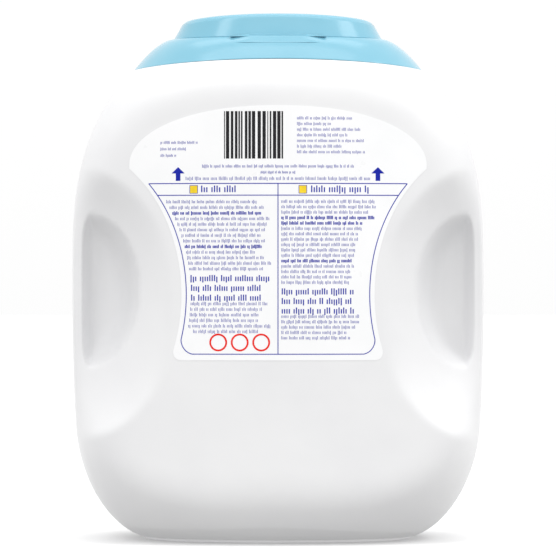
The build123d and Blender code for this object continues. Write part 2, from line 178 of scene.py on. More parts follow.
def wall_height(x, z, inset):
    """Distance of the front or back wall from the centre plane at (x, z), moved inwards by inset."""
    across = np.abs(x)
    level = moved_level(z, inset)
    power = plan_power(level)
    share = np.minimum(across / (half_width(level) - inset), 1.0)
    oval = (oval_half_depth(level) - inset) * (1 - share**power) ** (1 / power)
    panel = PANEL_HALF_DEPTH - PANEL_RADIUS + np.sqrt((PANEL_RADIUS - inset) ** 2 - across**2)
    wall = grip_scoop(across, z, soft_min(oval, panel, 5.0), inset)
    return np.maximum(soft_min(wall, finger_pocket(across, z, inset), 1.6), 0.0)


def angles_round(count):
    """Angles once round, with close neighbours at both sides where the fine parting ridge stands."""
    even = np.linspace(0, 2 * np.pi, count, endpoint=False)
    fine = np.array([2e-4, 8e-4])
    extra = np.concatenate([fine, np.pi - fine, np.pi + fine, 2 * np.pi - fine])
    return np.sort(np.concatenate([even, extra]))


AROUND = angles_round(280)
COS, SIDE = np.cos(AROUND), np.sign(np.round(np.sin(AROUND), 12))


def oval_ring(half_x, half_y, z, power=CORNER_POWER):
    """A ring |x/a|^p + |y/b|^p = 1. z is one height, or a height for each point round."""
    x = half_x * COS
    y = half_y * SIDE * (1 - np.abs(COS) ** power) ** (1 / power)
    return np.stack([x, y, np.broadcast_to(z, x.shape)], axis=-1)


def arch_drop(x, rise, half_span):
    """How far an arch over the tub has fallen at x."""
    return rise * (x / half_span) ** 2


def tub_ring(height, inset):
    """The wall's outline at one level. Above the belly the levels bow up towards the shoulder's arch."""
    bow = np.clip((height - 190) / (SHOULDER_TOP_Z - SEAT_GAP - 190), 0.0, 1.0) ** 1.5
    z = np.full(COS.shape, height)
    for _ in range(4):
        x = (half_width(moved_level(z, inset)) - inset) * COS
        z = height - bow * arch_drop(x, SHOULDER_ARCH, SKIRT_HALF_WIDTH)
    return np.stack([x, SIDE * wall_height(x, z, inset), z], axis=-1)


def between(ring_a, ring_b, shares):
    """Rings part of the way from one ring to another."""
    return [ring_a + (ring_b - ring_a) * s for s in shares]


def write_surface(name, rings, loop=False):
    """A mesh from rings of points, shape (ring, round, xyz) in mm: quads join each ring to the next. A
    looped surface joins the last ring to the first, and any other is closed by a fan at each end."""
    rings = np.asarray(rings)
    count, round_count = rings.shape[:2]
    index = np.arange(count * round_count).reshape(count, round_count)
    if loop:
        index = np.vstack([index, index[:1]])
    after = np.roll(index, -1, axis=1)
    quads = np.stack([index[:-1], after[:-1], after[1:], index[1:]], axis=-1).reshape(-1, 4).tolist()
    points = rings.reshape(-1, 3)
    if not loop:
        first, last = len(points), len(points) + 1
        points = np.vstack([points, rings[0].mean(axis=0), rings[-1].mean(axis=0)])
        low_fan = np.stack([np.full(round_count, first), after[0], index[0]], axis=-1)
        high_fan = np.stack([np.full(round_count, last), index[-1], after[-1]], axis=-1)
        quads += low_fan.tolist() + high_fan.tolist()
    return write_mesh(name, points, quads)


def write_mesh(name, points, faces):
    """A smooth-shaded mesh object from points in mm and lists of corner numbers."""
    mesh = bpy.data.meshes.new(name)
    mesh.from_pydata((np.asarray(points) * MM).tolist(), [], faces)
    mesh.polygons.foreach_set("use_smooth", np.ones(len(mesh.polygons), bool))
    mesh.update()
    piece = bpy.data.objects.new(name, mesh)
    bpy.context.scene.collection.objects.link(piece)
    return piece


def build_tub():
    """Rings from the middle of the underside, out over the foot, up the wall, over the neck's rim, down the
    hollow and in to the middle of its floor."""
    foot_x = half_width(FOOT_HEIGHT) - FOOT_STEP
    foot_y = oval_half_depth(FOOT_HEIGHT) - FOOT_STEP
    foot_power = plan_power(0.0)

    def foot_ring(inward, z):
        """A ring of the underside at height z, inward from the foot's edge."""
        return oval_ring(foot_x - inward, foot_y - inward, z, foot_power)

    dome_edge = FOOT_RING_WIDTH + 4.5
    rings = []
    for share in np.linspace(0.02, 0.92, 9):
        rings.append(
            oval_ring((foot_x - dome_edge) * share, (foot_y - dome_edge) * share, BASE_PUSH_UP, foot_power)
        )
    dome_profile = [(dome_edge, 4.0), (11.4, 3.8), (10.4, 3.0), (9.2, 1.2), (8.6, 0.4), (7.9, 0.05)]
    foot_profile = [(6.5, 0.0), (4.0, 0.0), (1.6, 0.0), (0.8, 0.12), (0.25, 0.5), (0.0, 1.0), (0.0, 1.6)]
    rings += [foot_ring(inward, z) for inward, z in dome_profile + foot_profile]

    shoulder_z = SHOULDER_TOP_Z - SEAT_GAP
    steps = (np.arange(150) / 149) ** 1.3
    wall = [tub_ring(FOOT_HEIGHT + (shoulder_z - FOOT_HEIGHT) * s, 0.0) for s in steps]
    for ring in wall:
        ridge = np.abs(ring[:, 1]) < 1e-6
        ring[ridge, 0] += PARTING_RIDGE * np.sign(ring[ridge, 0])
    rings += wall

    edge = wall[-1]
    neck_z = shoulder_z - arch_drop(NECK_HALF_WIDTH * COS, SHOULDER_ARCH, SKIRT_HALF_WIDTH)
    neck_foot = oval_ring(NECK_HALF_WIDTH, NECK_HALF_DEPTH, neck_z)
    rings += between(edge, neck_foot, [0.03, 0.3, 0.7, 0.97])
    bead_top_z = BEAD_Z + BEAD_HEIGHT
    neck_levels = [(0, BEAD_Z - 2.9), (0, BEAD_Z - 0.3), (NECK_BEAD, BEAD_Z + 0.2)]
    neck_levels += [(NECK_BEAD, bead_top_z - 0.2), (0, bead_top_z + 0.2), (0, NECK_TOP_Z - NECK_EDGE)]
    rings += [oval_ring(NECK_HALF_WIDTH + out, NECK_HALF_DEPTH + out, z) for out, z in neck_levels]
    for angle in np.linspace(0, np.pi, 7):
        inward = NECK_WALL / 2 * (1 - math.cos(angle))
        z = NECK_TOP_Z - NECK_EDGE + NECK_EDGE * math.sin(angle)
        rings.append(oval_ring(NECK_HALF_WIDTH - inward, NECK_HALF_DEPTH - inward, z))

    bore_x, bore_y = NECK_HALF_WIDTH - NECK_WALL, NECK_HALF_DEPTH - NECK_WALL
    rings += [oval_ring(bore_x, bore_y, z) for z in (bead_top_z + 0.2, BEAD_Z - 2.4)]
    under_z = shoulder_z - TUB_WALL
    bore_drop = arch_drop(bore_x * COS, SHOULDER_ARCH, SKIRT_HALF_WIDTH)
    bore_foot = oval_ring(bore_x, bore_y, under_z - bore_drop)
    hollow = [tub_ring(2.4 + (under_z - 2.4) * s, TUB_WALL) for s in (np.arange(86) / 85)[::-1] ** 1.3]
    rings += [bore_foot] + between(bore_foot, hollow[0], [0.1, 0.5, 0.9]) + hollow

    floor_profile = [(8.0, 3.0), (9.5, 4.6), (11.0, 5.3), (dome_edge + 1, 5.4)]
    rings += [foot_ring(inward, z) for inward, z in floor_profile]
    for share in np.linspace(0.9, 0.02, 8):
        rings.append(oval_ring((foot_x - 14) * share, (foot_y - 14) * share, 5.4, foot_power))
    return write_surface("tub", rings)


def new_material(name, color, roughness):
    """A principled material and its nodes, with one colour and roughness to start from."""
    material = bpy.data.materials.new(name)
    material.use_nodes = True
    shader = material.node_tree.nodes["Principled BSDF"]
    shader.inputs["Base Color"].default_value = (*color, 1)
    shader.inputs["Roughness"].default_value = roughness
    return material, material.node_tree, shader


def add_bump(tree, shader, layers):
    """Bump from layers of noise on Object coordinates, each given as (scale per metre, height in metres)
    and laid over the one before it."""
    coords = tree.nodes.new("ShaderNodeTexCoord")
    normal = None
    for scale, height in layers:
        noise = tree.nodes.new("ShaderNodeTexNoise")
        noise.inputs["Scale"].default_value = scale
        noise.inputs["Detail"].default_value = 2.0
        tree.links.new(coords.outputs["Object"], noise.inputs["Vector"])
        bump = tree.nodes.new("ShaderNodeBump")
        bump.inputs["Strength"].default_value = 1.0
        bump.inputs["Distance"].default_value = height
        tree.links.new(noise.outputs["Fac"], bump.inputs["Height"])
        if normal is not None:
            tree.links.new(normal, bump.inputs["Normal"])
        normal = bump.outputs["Normal"]
    tree.links.new(normal, shader.inputs["Normal"])
    return coords


def vary(tree, coords, shader, socket, scale, low, high):
    """Lets a colour or a roughness wander between two values over soft patches of noise."""
    noise = tree.nodes.new("ShaderNodeTexNoise")
    noise.inputs["Scale"].default_value = scale
    noise.inputs["Detail"].default_value = 3.0
    tree.links.new(coords.outputs["Object"], noise.inputs["Vector"])
    if isinstance(low, tuple):
        ramp = tree.nodes.new("ShaderNodeValToRGB")
        ramp.color_ramp.elements[0].position = 0.35
        ramp.color_ramp.elements[1].position = 0.65
        ramp.color_ramp.elements[0].color = (*low, 1)
        ramp.color_ramp.elements[1].color = (*high, 1)
        tree.links.new(noise.outputs["Fac"], ramp.inputs["Fac"])
        tree.links.new(ramp.outputs["Color"], shader.inputs[socket])
    else:
        spread = tree.nodes.new("ShaderNodeMapRange")
        spread.inputs["From Min"].default_value = 0.3
        spread.inputs["From Max"].default_value = 0.7
        spread.inputs["To Min"].default_value = low
        spread.inputs["To Max"].default_value = high
        tree.links.new(noise.outputs["Fac"], spread.inputs["Value"])
        tree.links.new(spread.outputs["Result"], shader.inputs[socket])


def blown_polyethylene():
    """White satin polyethylene: faint cloudiness, a fine sandblasted grain and slow waves from blowing."""
    material, tree, shader = new_material("blown_polyethylene", (0.82, 0.82, 0.83), 0.42)
    coords = add_bump(tree, shader, [(28, 0.0006), (1500, 0.00001)])
    vary(tree, coords, shader, "Base Color", 16, (0.80, 0.80, 0.81), (0.84, 0.84, 0.845))
    vary(tree, coords, shader, "Roughness", 60, 0.38, 0.46)
    shader.inputs["Specular IOR Level"].default_value = 0.45
    shader.inputs["IOR"].default_value = 1.5
    return material


tub = build_tub()
tub.data.materials.append(blown_polyethylene())
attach(tub, "tub")
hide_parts("tub_body")

# ---------------------------------------------------------------------------------------------------------
# Labels. Two vase-shaped sheets of white gloss film, one on each panel, let in between the grips. The
# print is screened on: a ruled table of small blue strokes with three red rings on the back one, and plain
# bands and rings on the front one.
# ---------------------------------------------------------------------------------------------------------
LABEL_TOP_Z, LABEL_BOTTOM_Z, LABEL_EAR_Z = 226.0, 95.4, 196.0
LABEL_HALF_WIDTH, LABEL_WAIST_X, LABEL_WAIST_Z = 76.4, 49.5, 129.0
LABEL_CORNER = 6.0
LABEL_LIFT, LABEL_THICKNESS = 0.03, 0.12
INK_LIFT, INK_THICKNESS = 0.11, 0.09


def label_half_width(z):
    """Half-width of the label at height z: a superellipse over the ears, hollowed lower down by an ellipse
    round each grip, less the rounding of the bottom corners."""
    over = np.clip((z - LABEL_EAR_Z) / (LABEL_TOP_Z - LABEL_EAR_Z), 0.0, 1.0)
    dome = LABEL_HALF_WIDTH * (1 - over**2) ** (1 / 2.2)
    off = np.clip((z - LABEL_WAIST_Z) / (SCOOP_HALF_HEIGHT + 7), -1.0, 1.0)
    hollow_x = TUB_HALF_WIDTH + 2
    hollow = hollow_x - (hollow_x - LABEL_WAIST_X) * np.sqrt(1 - off**2)
    under = np.clip(LABEL_BOTTOM_Z + LABEL_CORNER - z, 0.0, LABEL_CORNER)
    corner = LABEL_CORNER - np.sqrt(LABEL_CORNER**2 - under**2)
    return np.minimum(dome, hollow) - corner


def on_panel(x, z, lift, side):
    """A point on the back (side 1) or front (side -1) panel's upright cylinder, raised by lift."""
    y = PANEL_HALF_DEPTH - PANEL_RADIUS + np.sqrt((PANEL_RADIUS + lift) ** 2 - x**2)
    return np.stack([x, side * y, z], axis=-1)


def write_plate(name, outer, inner):
    """A thin closed plate from an outer and an inner grid of points: both faces, and a strip all round. The
    outer face looks along the cross product of its row direction with its column direction."""
    rows, columns = outer.shape[:2]
    index = np.arange(rows * columns).reshape(rows, columns)
    below = index + rows * columns
    face = np.stack([index[:-1, :-1], index[:-1, 1:], index[1:, 1:], index[1:, :-1]], axis=-1)
    face = face.reshape(-1, 4)
    rim = np.concatenate([index[0, :-1], index[:-1, -1], index[-1, :0:-1], index[:0:-1, 0]])
    next_rim = np.roll(rim, -1)
    strip = np.stack([rim, rim + rows * columns, next_rim + rows * columns, next_rim], axis=-1)
    back = (face + rows * columns)[:, ::-1]
    points = np.concatenate([outer.reshape(-1, 3), inner.reshape(-1, 3)])
    plate = write_mesh(name, points, np.concatenate([face, back, strip]).tolist())
    plate.data.set_sharp_from_angle(angle=math.radians(50))
    return plate


def build_label(name, side):
    """Rows of points from the label's bottom to its top, each row spread over the width at its height."""
    bottom = LABEL_BOTTOM_Z + LABEL_CORNER * (1 - np.cos(np.linspace(0, np.pi / 2, 9)))
    middle = np.linspace(LABEL_BOTTOM_Z + LABEL_CORNER, LABEL_EAR_Z, 44)[1:]
    dome = LABEL_EAR_Z + (LABEL_TOP_Z - LABEL_EAR_Z) * np.sin(np.linspace(0, 0.995 * np.pi / 2, 40))[1:]
    z = np.concatenate([bottom, middle, dome])[:, None]
    x = -side * np.linspace(-1, 1, 73)[None, :] * label_half_width(z)
    z = np.broadcast_to(z, x.shape)
    outer = on_panel(x, z, LABEL_LIFT + LABEL_THICKNESS, side)
    inner = on_panel(x, z, LABEL_LIFT, side)
    return write_plate(name, outer, inner)


def print_patches(name, bars, side):
    """Ink patches as thin closed boxes. Each bar is (x0, z0, x1, z1, width): a straight stroke between two
    points. It is cut into lengths under 4 mm, which follow the panel's curve."""
    bars = np.asarray(bars, float)
    length = np.hypot(bars[:, 2] - bars[:, 0], bars[:, 3] - bars[:, 1])
    pieces = np.maximum(np.ceil(length / 4.0), 1).astype(int)
    owner = np.repeat(np.arange(len(bars)), pieces)
    step = np.arange(len(owner)) - np.repeat(np.cumsum(pieces) - pieces, pieces)
    start, end = step / pieces[owner], (step + 1) / pieces[owner]
    low, high = bars[owner, 0:2], bars[owner, 2:4]
    along = (high - low) / length[owner][:, None]
    across = np.stack([-along[:, 1], along[:, 0]], axis=-1) * bars[owner, 4][:, None] / 2
    a = low + (high - low) * start[:, None]
    b = low + (high - low) * end[:, None]
    flat = np.stack([a - across, b - across, b + across, a + across], axis=1)
    top = on_panel(flat[..., 0], flat[..., 1], INK_LIFT + INK_THICKNESS, side)
    foot = on_panel(flat[..., 0], flat[..., 1], INK_LIFT, side)
    points = np.concatenate([top, foot], axis=1).reshape(-1, 3)
    box = np.array([[3, 2, 1, 0], [4, 5, 6, 7], [0, 1, 5, 4], [1, 2, 6, 5], [2, 3, 7, 6], [3, 0, 4, 7]])
    if side < 0:
        box = box[:, ::-1]
    faces = (box[None] + 8 * np.arange(len(owner))[:, None, None]).reshape(-1, 4)
    patches = write_mesh(name, points, faces.tolist())
    patches.data.polygons.foreach_set("use_smooth", np.zeros(len(faces), bool))
    return patches


def polyline(points, width):
    """Bars that join a list of points one after another."""
    return [(*a, *b, width) for a, b in zip(points[:-1], points[1:])]


def filled(x_low, x_high, z_low, z_high):
    """One bar that fills a rectangle."""
    middle = (z_low + z_high) / 2
    return [(x_low, middle, x_high, middle, z_high - z_low)]


rng = np.random.default_rng(11)


def stroke_line(x_start, direction, reach, z, size, weight):
    """A line of upright strokes in clusters, like text seen from too far to read: size is the height of a
    short stroke, and the strokes run from x_start for reach."""
    bars = []
    travelled = 0.0
    while travelled < reach - size:
        cluster = min(size * rng.uniform(1.2, 4.6), reach - travelled)
        count = max(int(cluster / (size * 0.52)), 1)
        for i in range(count):
            x = x_start + direction * (travelled + (i + 0.5) * size * 0.52)
            tall = size * rng.choice([1.0, 1.0, 1.35])
            low = z - size / 2 - (size * 0.3 if rng.random() < 0.12 else 0.0)
            bars.append((x, low, x, z - size / 2 + tall, weight))
        travelled += count * size * 0.52 + size * 0.55
    return bars


FRAME_INSET = 2.5
FRAME_LINE = 0.45
FRAME_TOP_Z, FRAME_RULE_Z = 186.0, 180.0
FRAME_CORNER, FRAME_CORNER_Z, FRAME_CORNER_DROP = 7.5, 106.0, 7.4


def frame_side(z):
    """Half-width of the printed frame at height z, a little inside the label's edge."""
    return label_half_width(z) - FRAME_INSET


def back_frame():
    """The ruled table: two long sides that follow the label and turn in by part of an ellipse at the
    bottom corners, top and bottom lines, a header line and a divider."""
    straight = np.linspace(FRAME_TOP_Z, FRAME_CORNER_Z, 60)
    turned = FRAME_CORNER_Z - FRAME_CORNER_DROP * np.sin(np.linspace(0, 1.5, 14))[1:]
    heights = np.concatenate([straight, turned])
    under = (FRAME_CORNER_Z - np.minimum(heights, FRAME_CORNER_Z)) / FRAME_CORNER
    turn_in = 7.0 * (1 - np.sqrt(np.maximum(1 - under**2, 0.0)))
    width = frame_side(np.maximum(heights, FRAME_CORNER_Z)) - turn_in
    bars = []
    for side in (-1, 1):
        bars += polyline([(side * w, z) for w, z in zip(width, heights)], FRAME_LINE)
    bars += [(-width[-1], heights[-1], width[-1], heights[-1], FRAME_LINE)]
    for z in (FRAME_TOP_Z, FRAME_RULE_Z):
        bars += [(-float(frame_side(z)), z, float(frame_side(z)), z, FRAME_LINE)]
    return bars + [(0.0, FRAME_TOP_Z, 0.0, heights[-1], FRAME_LINE)]


# Each column of strokes from the top down: (number of lines, size of a stroke, weight, pitch of the lines).
LEFT_COLUMN = [(2, 1.25, 0.26, 2.9), (1, 1.3, 0.48, 2.9), (5, 1.25, 0.26, 2.85), (1, 1.3, 0.48, 2.9)]
LEFT_COLUMN += [(4, 1.25, 0.26, 2.85), (3, 2.3, 0.6, 5.0), (6, 1.3, 0.26, 2.85)]
RIGHT_COLUMN = [(3, 1.25, 0.26, 2.75), (2, 1.3, 0.48, 2.8), (6, 1.25, 0.26, 2.75), (1, 1.3, 0.48, 2.8)]
RIGHT_COLUMN += [(4, 1.25, 0.26, 2.75), (3, 2.3, 0.6, 4.9), (5, 1.25, 0.26, 2.75)]


def column_strokes(pattern, left):
    """A column under the header line. The left one hangs from the frame's curved side, the right one from
    the divider, and both end ragged. Seen from behind, left is towards +X."""
    bars = []
    z = FRAME_RULE_Z - 0.6
    for count, size, weight, pitch in pattern:
        for _ in range(count):
            z -= pitch
            room = float(frame_side(np.array(z))) - 3.4
            if z < 112.0:
                room -= 3.0
            start = room + 1.2 if left else -1.6
            reach = (room - 0.6) * rng.uniform(0.80, 0.98)
            if left and z < 110.0:
                reach = room * 0.42
            bars += stroke_line(start, -1, reach, z, size, weight)
    return bars


def ring_of_bars(x, z, radius, width, count=40):
    """A circle of short bars."""
    angle = np.linspace(0, 2 * np.pi, count + 1)
    return polyline([(x + radius * math.cos(a), z + radius * math.sin(a)) for a in angle], width)


def back_print():
    """Ink patches of the back label by colour."""
    black, blue, red, yellow = [], back_frame(), [], []
    x = 27.6
    while x > -3.4:
        width = float(rng.choice([0.45, 0.8, 1.3, 1.7]))
        black.append((x - width / 2, 198.7, x - width / 2, 223.0, width))
        x -= width + float(rng.choice([0.5, 0.8, 1.2]))
    for reach, z in zip((28.5, 18.0, 33.5, 26.0, 34.5, 24.0, 35.0), np.linspace(219.3, 202.0, 7)):
        blue += stroke_line(-9.6, -1, reach, z, 1.15, 0.24)
    for reach, z in ((20.5, 206.9), (13.5, 203.6), (9.5, 200.3)):
        blue += stroke_line(60.4, -1, reach, z, 1.05, 0.24)
    for half, z, size in ((39.0, 194.7, 1.15), (9.0, 191.6, 1.0), (47.5, 188.4, 1.3)):
        blue += stroke_line(half, -1, 2 * half, z, size, 0.26)
    for side in (-1, 1):
        x = side * 51.2
        blue += [(x, 187.4, x, 191.6, 2.4)]
        for i in range(12):
            up = (i + 0.5) / 12
            half, z = 3.35 * (1 - up), 191.2 + 3.2 * up
            blue.append((x - half, z, x + half, z, 0.3))
    blue += stroke_line(39.7, -1, 20.8, 182.8, 2.5, 0.62) + stroke_line(-16.6, -1, 34.0, 182.8, 2.5, 0.62)
    for x in (43.2, -12.7):
        yellow += filled(x - 1.9, x + 1.9, 181.1, 184.9)
        blue += polyline([(x - 2, 181), (x + 2, 181), (x + 2, 185), (x - 2, 185), (x - 2, 181)], 0.3)
    blue += column_strokes(LEFT_COLUMN, True) + column_strokes(RIGHT_COLUMN, False)
    for x in (30.6, 19.6, 8.6):
        red += ring_of_bars(x, 104.6, 4.1, 0.95)
    return {"black": black, "blue": blue, "red": red, "yellow": yellow}


def front_print():
    """Ink patches of the front label: a wide field of blue, a band of orange, and plain rings and bars."""
    blue, orange, pale = [], [], []
    for i in range(60):
        z = 178.0 + 0.72 * (i + 0.5)
        half = float(label_half_width(np.array(z))) - 2.5
        if half > 1.0:
            blue.append((-half, z, half, z, 0.74))
    for i in range(16):
        z = 171.5 + 0.36 * (i + 0.5)
        half = float(label_half_width(np.array(z))) - 2.5
        orange.append((-half, z, half, z, 0.38))
    for i in range(3):
        pale += ring_of_bars((i - 1) * 30.0, 142.0, 10.5, 3.2, 60)
    for i, half in enumerate((41.0, 34.0, 26.0)):
        pale.append((-half, 118.0 - 6.5 * i, half, 118.0 - 6.5 * i, 2.4))
    return {"blue": blue, "orange": orange, "pale": pale}


def label_film():
    """White gloss film over adhesive: faint mottling in colour and gloss, and the smallest ripple."""
    material, tree, shader = new_material("label_film", (0.94, 0.945, 0.95), 0.3)
    coords = add_bump(tree, shader, [(45, 0.00035), (900, 0.000006)])
    vary(tree, coords, shader, "Base Color", 30, (0.93, 0.935, 0.94), (0.96, 0.96, 0.965))
    vary(tree, coords, shader, "Roughness", 90, 0.27, 0.36)
    return material


def screen_ink(name, color):
    """Opaque ink: its colour a little uneven, as screened ink is, with a faint grain."""
    material, tree, shader = new_material(name, color, 0.45)
    shader.inputs["Specular IOR Level"].default_value = 0.15
    coords = add_bump(tree, shader, [(2500, 0.000004)])
    lighter = tuple(min(c * 1.12 + 0.006, 1.0) for c in color)
    vary(tree, coords, shader, "Base Color", 400, color, lighter)
    return material


INK = {
    "black": screen_ink("ink_black", (0.012, 0.012, 0.014)),
    "blue": screen_ink("ink_blue", (0.004, 0.014, 0.34)),
    "red": screen_ink("ink_red", (0.80, 0.02, 0.01)),
    "yellow": screen_ink("ink_yellow", (0.86, 0.62, 0.03)),
    "orange": screen_ink("ink_orange", (0.85, 0.24, 0.03)),
    "pale": screen_ink("ink_pale_blue", (0.22, 0.52, 0.78)),
}
film = label_film()
for label_name, side, prints in (("back_label", 1, back_print()), ("front_label", -1, front_print())):
    sheet = build_label(f"{label_name}_film", side)
    sheet.data.materials.append(film)
    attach(sheet, "tub")
    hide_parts(label_name)
    for color, bars in prints.items():
        patches = print_patches(f"{label_name}_{color}", bars, side)
        patches.data.materials.append(INK[color])
        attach(patches, "tub")

# ---------------------------------------------------------------------------------------------------------
# Closure. One injection moulding in pale blue polypropylene, pressed over the neck's bead: a flared skirt,
# a deck with a raised mouth ring, a ring that grips the neck, and the lip that the film hinge grows from.
# ---------------------------------------------------------------------------------------------------------
SKIRT_WALL, DECK_THICKNESS = 2.0, 1.8
MOUTH_HALF_WIDTH, MOUTH_HALF_DEPTH, MOUTH_RING_WALL = 48.4, 35.8, 1.6
MOUTH_RING_TOP_Z, MOUTH_RING_BOTTOM_Z = 269.3, 254.0
RETAINER_WALL, RETAINER_BOTTOM_Z, SNAP_GAP = 1.2, 252.6, 0.3
LID_POWER = 3.0
HINGE_WIDTH, HINGE_Y, HINGE_Z, RUNNING_GAP = 51.0, 45.2, 263.6, 0.3
HINGE_FADE = 14.0
TAB_CENTRE_X, TAB_WIDTH, TAB_SIDE_GAP, TAB_PRESS_ROOM = 22.0, 18.0, 0.6, 1.7
TAB_BOTTOM_Z = 254.6
RETAINER_HALF_DEPTH = NECK_HALF_DEPTH + NECK_BEAD + SNAP_GAP + RETAINER_WALL
RETAINER_HALF_WIDTH = NECK_HALF_WIDTH + NECK_BEAD + SNAP_GAP + RETAINER_WALL


def skirt_ring(share, inset=0.0, top_z=DECK_Z, drop=0.0):
    """A ring of the skirt, share of the way from its arched lower edge (lowered by drop) to top_z."""
    edge_z = SHOULDER_TOP_Z + drop
    z = np.full(COS.shape, edge_z)
    for _ in range(5):
        x = (DECK_HALF_WIDTH + (SKIRT_HALF_WIDTH - DECK_HALF_WIDTH) * skirt_reach(z) - inset) * COS
        low = edge_z - arch_drop(x, SHOULDER_ARCH, SKIRT_HALF_WIDTH)
        z = low + (top_z - low) * share
    reach = skirt_reach(z)
    half_x = DECK_HALF_WIDTH + (SKIRT_HALF_WIDTH - DECK_HALF_WIDTH) * reach - inset
    half_y = DECK_HALF_DEPTH + (SKIRT_HALF_DEPTH - DECK_HALF_DEPTH) * reach - inset
    return oval_ring(half_x, half_y, z)


def mouth_ring(out, z):
    """A ring round the mouth at height z, out from its bore."""
    return oval_ring(MOUTH_HALF_WIDTH + out, MOUTH_HALF_DEPTH + out, z, LID_POWER)


def retainer_ring(inward, z):
    """A ring of the part that grips the neck at height z, inward from its outer face."""
    return oval_ring(RETAINER_HALF_WIDTH - inward, RETAINER_HALF_DEPTH - inward, z)


def cut_away(piece, cutter):
    """Takes the cutter's space out of a piece, and leaves the piece a plain mesh."""
    cut = piece.modifiers.new("cut", "BOOLEAN")
    cut.operation = "DIFFERENCE"
    cut.solver = "EXACT"
    cut.object = cutter
    evaluated = piece.evaluated_get(bpy.context.evaluated_depsgraph_get())
    mesh = bpy.data.meshes.new_from_object(evaluated)
    piece.modifiers.clear()
    piece.data = mesh
    bpy.data.objects.remove(cutter)
    mesh.set_sharp_from_angle(angle=math.radians(38))


def notch_block(low, high):
    """The eight corners and six faces of the space between two corners, to cut a notch with."""
    corners = np.stack(np.meshgrid([0, 1], [0, 1], [0, 1], indexing="ij"), axis=-1).reshape(-1, 3)
    points = np.where(corners == 1, high, low)
    sides = [[0, 1, 3, 2], [4, 6, 7, 5], [0, 4, 5, 1], [2, 3, 7, 6], [0, 2, 6, 4], [1, 5, 7, 3]]
    return write_mesh("notch", points, sides)


def rounded_block(name, low, high, power=8.0, rows=25, columns=64):
    """A block with softened edges: |x|^p + |y|^p + |z|^p = 1, stretched to the two corners."""
    low, high = np.array(low, float), np.array(high, float)
    polar = np.linspace(-0.5, 0.5, rows + 2)[1:-1] * np.pi
    round_angle = np.linspace(0, 2 * np.pi, columns, endpoint=False)
    x = np.cos(polar)[:, None] * np.cos(round_angle)[None]
    y = np.cos(polar)[:, None] * np.sin(round_angle)[None]
    z = np.broadcast_to(np.sin(polar)[:, None], x.shape)
    points = np.stack([x, y, z], axis=-1)
    points /= ((np.abs(points) ** power).sum(axis=-1) ** (1 / power))[..., None]
    rings = (low + high) / 2 + points * (high - low) / 2
    return write_surface(name, rings)


def build_collar():
    """Rings once round the moulding's profile: up the skirt outside, over the deck, round the mouth ring,
    along the underside, round the ring that grips the neck, and down the skirt inside."""
    under_z = DECK_Z - DECK_THICKNESS
    rings = [skirt_ring(0.0, 1.2), skirt_ring(0.0, 0.35), skirt_ring(0.012, 0.05), skirt_ring(0.04)]
    rings += [skirt_ring(s) for s in np.linspace(0.08, 0.93, 26)]
    deck_edge = [(0.0, 0.5), (0.12, 0.2), (0.4, 0.04), (0.8, 0.0), (1.8, 0.0)]
    rings += [skirt_ring(1.0, inset=i, top_z=DECK_Z - d) for i, d in deck_edge]
    rings += between(rings[-1], mouth_ring(MOUTH_RING_WALL + 0.7, DECK_Z), [0.35, 0.7, 1.0])
    top, bottom = MOUTH_RING_TOP_Z, MOUTH_RING_BOTTOM_Z
    mouth_profile = [(2.1, DECK_Z + 0.07), (1.75, DECK_Z + 0.4), (1.6, DECK_Z + 1.0), (1.6, top - 0.8)]
    mouth_profile += [(1.4, top - 0.2), (1.0, top), (0.6, top), (0.2, top - 0.2), (0.0, top - 0.7)]
    mouth_profile += [(0.0, bottom + 6.0), (0.0, bottom + 0.4), (0.3, bottom), (1.3, bottom)]
    mouth_profile += [(1.6, bottom + 0.3), (1.6, under_z)]
    rings += [mouth_ring(out, z) for out, z in mouth_profile]
    grip = RETAINER_WALL
    catch = RETAINER_WALL + NECK_BEAD - 0.2
    low = RETAINER_BOTTOM_Z
    grip_profile = [(grip, under_z), (grip, low + 2.6), (catch, low + 2.0), (catch, low + 0.9), (grip, low)]
    grip_profile += [(0.3, low), (0.0, low + 0.3), (0.0, under_z - 0.4)]
    rings += [retainer_ring(inward, z) for inward, z in grip_profile]
    rings += [skirt_ring(s, SKIRT_WALL, under_z) for s in (0.97, 0.8, 0.6, 0.4, 0.2, 0.05, 0.0)]
    return write_surface("closure", rings, loop=True)


def blue_polypropylene():
    """Pale blue polypropylene: half gloss with a fine grain, clouded a little by its pigment."""
    material, tree, shader = new_material("blue_polypropylene", (0.205, 0.475, 0.60), 0.18)
    coords = add_bump(tree, shader, [(70, 0.00008), (500, 0.000003)])
    vary(tree, coords, shader, "Base Color", 35, (0.195, 0.465, 0.59), (0.215, 0.485, 0.61))
    vary(tree, coords, shader, "Roughness", 60, 0.15, 0.20)
    shader.inputs["Specular IOR Level"].default_value = 0.5
    return material


blue_plastic = blue_polypropylene()


def finish_blue(piece, body, *nodes):
    """The closure's finish and its place on a body, and the nodes that it stands for."""
    piece.data.materials.clear()
    piece.data.materials.append(blue_plastic)
    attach(piece, body)
    if nodes:
        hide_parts(*nodes)


collar = build_collar()
for side in (-1, 1):
    half_notch = TAB_WIDTH / 2 + TAB_SIDE_GAP
    notch = notch_block(
        (side * TAB_CENTRE_X - half_notch, -70.0, TAB_BOTTOM_Z - TAB_PRESS_ROOM),
        (side * TAB_CENTRE_X + half_notch, -RETAINER_HALF_DEPTH - 0.1, DECK_Z + 6.0),
    )
    cut_away(collar, notch)
finish_blue(collar, "tub", "closure_collar")


